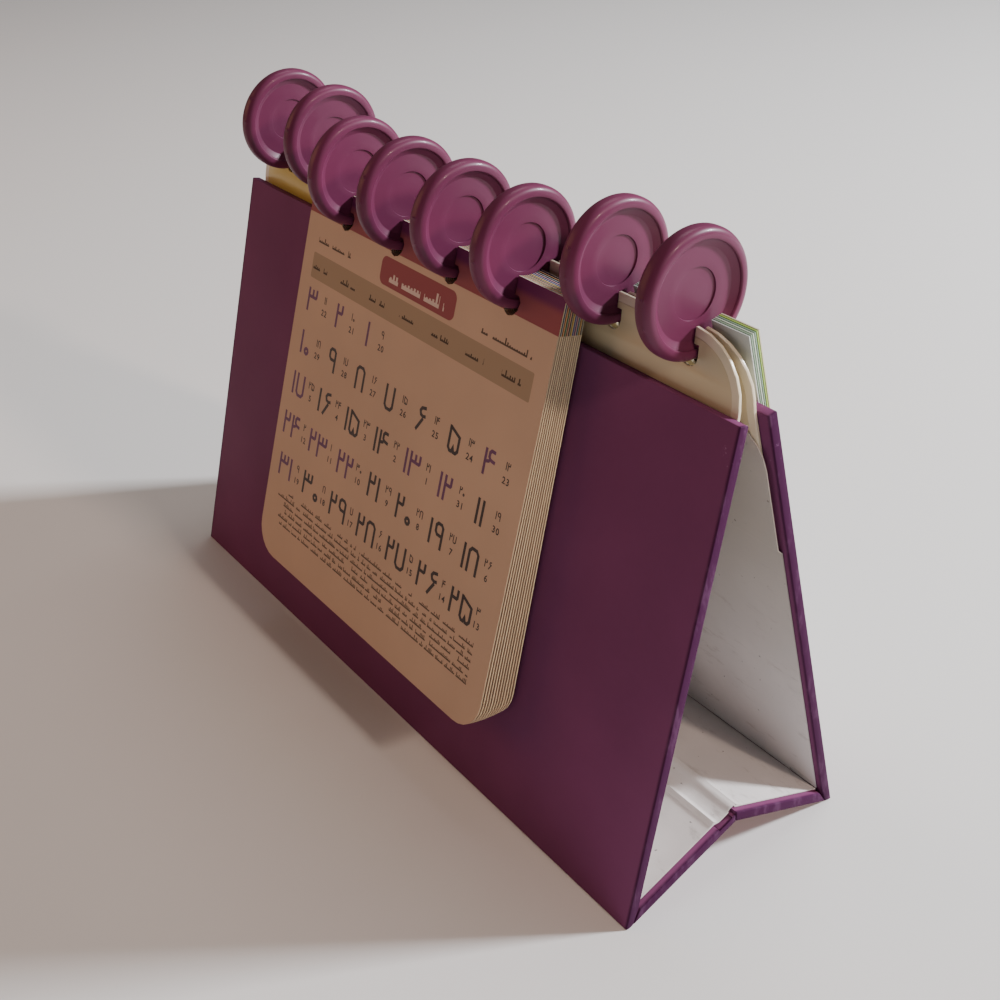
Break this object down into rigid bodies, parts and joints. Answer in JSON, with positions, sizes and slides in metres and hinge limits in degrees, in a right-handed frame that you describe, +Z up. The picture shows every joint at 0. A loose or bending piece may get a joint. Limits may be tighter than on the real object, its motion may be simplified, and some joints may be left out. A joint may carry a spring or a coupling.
{
  "type": "desk calendar",
  "caption": "Fold-flat tent stand of covered boards with disc binding, a pad of date leaves in front and wide leaves behind.",
  "frame": {"origin": "middle of the narrow flat under the front bottom fold, where the stand touches the desk", "axes": "+X along the stand's width to its right seen from behind the viewer, +Y from the front panel to the rear panel, +Z up"},
  "size_m": [0.218, 0.0796, 0.1681],
  "materials": {
    "cover": "satin laminated wrap paper",
    "board": "bare grey board",
    "liner": "matt white paper",
    "strip": "coated cream card",
    "disc": "moulded mauve plastic",
    "date_leaf": "matt printed card",
    "wide_leaf": "matt card with coloured edges"
  },
  "bodies": {
    "front_stand": {"front_panel_cover": "cover", "front_panel_board": "board", "front_panel_liner": "liner", "front_strip": "strip", "disc_1": "disc", "disc_2": "disc", "disc_3": "disc", "disc_4": "disc", "disc_5": "disc", "disc_6": "disc", "disc_7": "disc", "disc_8": "disc"},
    "base_front": {"base_front_cover": "cover", "base_front_board": "board", "base_front_liner": "liner", "base_spine_strip": "board"},
    "base_rear": {"base_rear_cover": "cover", "base_rear_board": "board", "base_rear_liner": "liner"},
    "rear_stand": {"rear_panel_cover": "cover", "rear_panel_board": "board", "rear_panel_liner": "liner", "rear_strip": "strip"},
    "date_leaf_01": {"date_leaf_01": "date_leaf"},
    "date_leaf_02": {"date_leaf_02": "date_leaf"},
    "date_leaf_03": {"date_leaf_03": "date_leaf"},
    "date_leaf_04": {"date_leaf_04": "date_leaf"},
    "date_leaf_05": {"date_leaf_05": "date_leaf"},
    "date_leaf_06": {"date_leaf_06": "date_leaf"},
    "date_leaf_07": {"date_leaf_07": "date_leaf"},
    "date_leaf_08": {"date_leaf_08": "date_leaf"},
    "date_leaf_09": {"date_leaf_09": "date_leaf"},
    "date_leaf_10": {"date_leaf_10": "date_leaf"},
    "date_leaf_11": {"date_leaf_11": "date_leaf"},
    "date_leaf_12": {"date_leaf_12": "date_leaf"},
    "wide_leaf_1": {"wide_leaf_1": "wide_leaf"},
    "wide_leaf_2": {"wide_leaf_2": "wide_leaf"},
    "wide_leaf_3": {"wide_leaf_3": "wide_leaf"},
    "wide_leaf_4": {"wide_leaf_4": "wide_leaf"},
    "wide_leaf_5": {"wide_leaf_5": "wide_leaf"},
    "wide_leaf_6": {"wide_leaf_6": "wide_leaf"}
  },
  "joints": [
    {"name": "stand_fold", "type": "hinge", "parent": "front_stand", "child": "base_front", "pos_m": [0, 0.00366, 0.00448], "axis": [1, 0, 0], "range_deg": [0, 54]},
    {"name": "base_mid_fold", "type": "hinge", "parent": "base_front", "child": "base_rear", "pos_m": [0, 0.03593, 0.0134], "axis": [-1, 0, 0], "range_deg": [0, 131.86]},
    {"name": "rear_fold", "type": "hinge", "parent": "base_rear", "child": "rear_stand", "pos_m": [0, 0.0682, 0.00448], "axis": [1, 0, 0], "range_deg": [0, 54]},
    {"name": "date_leaf_01_turn", "type": "hinge", "parent": "front_stand", "child": "date_leaf_01", "pos_m": [0, 0.0275, 0.1496], "axis": [-1, 0, 0], "range_deg": [0, 260]},
    {"name": "date_leaf_02_turn", "type": "hinge", "parent": "front_stand", "child": "date_leaf_02", "pos_m": [0, 0.0275, 0.1496], "axis": [-1, 0, 0], "range_deg": [0, 260]},
    {"name": "date_leaf_03_turn", "type": "hinge", "parent": "front_stand", "child": "date_leaf_03", "pos_m": [0, 0.0275, 0.1496], "axis": [-1, 0, 0], "range_deg": [0, 260]},
    {"name": "date_leaf_04_turn", "type": "hinge", "parent": "front_stand", "child": "date_leaf_04", "pos_m": [0, 0.0275, 0.1496], "axis": [-1, 0, 0], "range_deg": [0, 260]},
    {"name": "date_leaf_05_turn", "type": "hinge", "parent": "front_stand", "child": "date_leaf_05", "pos_m": [0, 0.0275, 0.1496], "axis": [-1, 0, 0], "range_deg": [0, 260]},
    {"name": "date_leaf_06_turn", "type": "hinge", "parent": "front_stand", "child": "date_leaf_06", "pos_m": [0, 0.0275, 0.1496], "axis": [-1, 0, 0], "range_deg": [0, 260]},
    {"name": "date_leaf_07_turn", "type": "hinge", "parent": "front_stand", "child": "date_leaf_07", "pos_m": [0, 0.0275, 0.1496], "axis": [-1, 0, 0], "range_deg": [0, 260]},
    {"name": "date_leaf_08_turn", "type": "hinge", "parent": "front_stand", "child": "date_leaf_08", "pos_m": [0, 0.0275, 0.1496], "axis": [-1, 0, 0], "range_deg": [0, 260]},
    {"name": "date_leaf_09_turn", "type": "hinge", "parent": "front_stand", "child": "date_leaf_09", "pos_m": [0, 0.0275, 0.1496], "axis": [-1, 0, 0], "range_deg": [0, 260]},
    {"name": "date_leaf_10_turn", "type": "hinge", "parent": "front_stand", "child": "date_leaf_10", "pos_m": [0, 0.0275, 0.1496], "axis": [-1, 0, 0], "range_deg": [0, 260]},
    {"name": "date_leaf_11_turn", "type": "hinge", "parent": "front_stand", "child": "date_leaf_11", "pos_m": [0, 0.0275, 0.1496], "axis": [-1, 0, 0], "range_deg": [0, 260]},
    {"name": "date_leaf_12_turn", "type": "hinge", "parent": "front_stand", "child": "date_leaf_12", "pos_m": [0, 0.0275, 0.1496], "axis": [-1, 0, 0], "range_deg": [0, 260]},
    {"name": "wide_leaf_1_turn", "type": "hinge", "parent": "rear_stand", "child": "wide_leaf_1", "pos_m": [0, 0.0346, 0.1521], "axis": [1, 0, 0], "range_deg": [0, 170]},
    {"name": "wide_leaf_2_turn", "type": "hinge", "parent": "rear_stand", "child": "wide_leaf_2", "pos_m": [0, 0.0346, 0.1521], "axis": [1, 0, 0], "range_deg": [0, 170]},
    {"name": "wide_leaf_3_turn", "type": "hinge", "parent": "rear_stand", "child": "wide_leaf_3", "pos_m": [0, 0.0346, 0.1521], "axis": [1, 0, 0], "range_deg": [0, 170]},
    {"name": "wide_leaf_4_turn", "type": "hinge", "parent": "rear_stand", "child": "wide_leaf_4", "pos_m": [0, 0.0346, 0.1521], "axis": [1, 0, 0], "range_deg": [0, 170]},
    {"name": "wide_leaf_5_turn", "type": "hinge", "parent": "rear_stand", "child": "wide_leaf_5", "pos_m": [0, 0.0346, 0.1521], "axis": [1, 0, 0], "range_deg": [0, 170]},
    {"name": "wide_leaf_6_turn", "type": "hinge", "parent": "rear_stand", "child": "wide_leaf_6", "pos_m": [0, 0.0346, 0.1521], "axis": [1, 0, 0], "range_deg": [0, 170]}
  ],
  "couplings": [
    {"joint": "base_mid_fold", "follows": "stand_fold", "ratio": 2.44},
    {"joint": "rear_fold", "follows": "stand_fold", "ratio": 1},
    {"joint": "date_leaf_02_turn", "follows": "date_leaf_01_turn", "ratio": 0.9975},
    {"joint": "date_leaf_03_turn", "follows": "date_leaf_01_turn", "ratio": 0.995},
    {"joint": "date_leaf_04_turn", "follows": "date_leaf_01_turn", "ratio": 0.9925},
    {"joint": "date_leaf_05_turn", "follows": "date_leaf_01_turn", "ratio": 0.99},
    {"joint": "date_leaf_06_turn", "follows": "date_leaf_01_turn", "ratio": 0.9875},
    {"joint": "date_leaf_07_turn", "follows": "date_leaf_01_turn", "ratio": 0.985},
    {"joint": "date_leaf_08_turn", "follows": "date_leaf_01_turn", "ratio": 0.9825},
    {"joint": "date_leaf_09_turn", "follows": "date_leaf_01_turn", "ratio": 0.98},
    {"joint": "date_leaf_10_turn", "follows": "date_leaf_01_turn", "ratio": 0.9775},
    {"joint": "date_leaf_11_turn", "follows": "date_leaf_01_turn", "ratio": 0.975},
    {"joint": "date_leaf_12_turn", "follows": "date_leaf_01_turn", "ratio": 0.9725},
    {"joint": "wide_leaf_1_turn", "follows": "wide_leaf_6_turn", "ratio": 0.97},
    {"joint": "wide_leaf_2_turn", "follows": "wide_leaf_6_turn", "ratio": 0.976},
    {"joint": "wide_leaf_3_turn", "follows": "wide_leaf_6_turn", "ratio": 0.982},
    {"joint": "wide_leaf_4_turn", "follows": "wide_leaf_6_turn", "ratio": 0.988},
    {"joint": "wide_leaf_5_turn", "follows": "wide_leaf_6_turn", "ratio": 0.994}
  ]
}
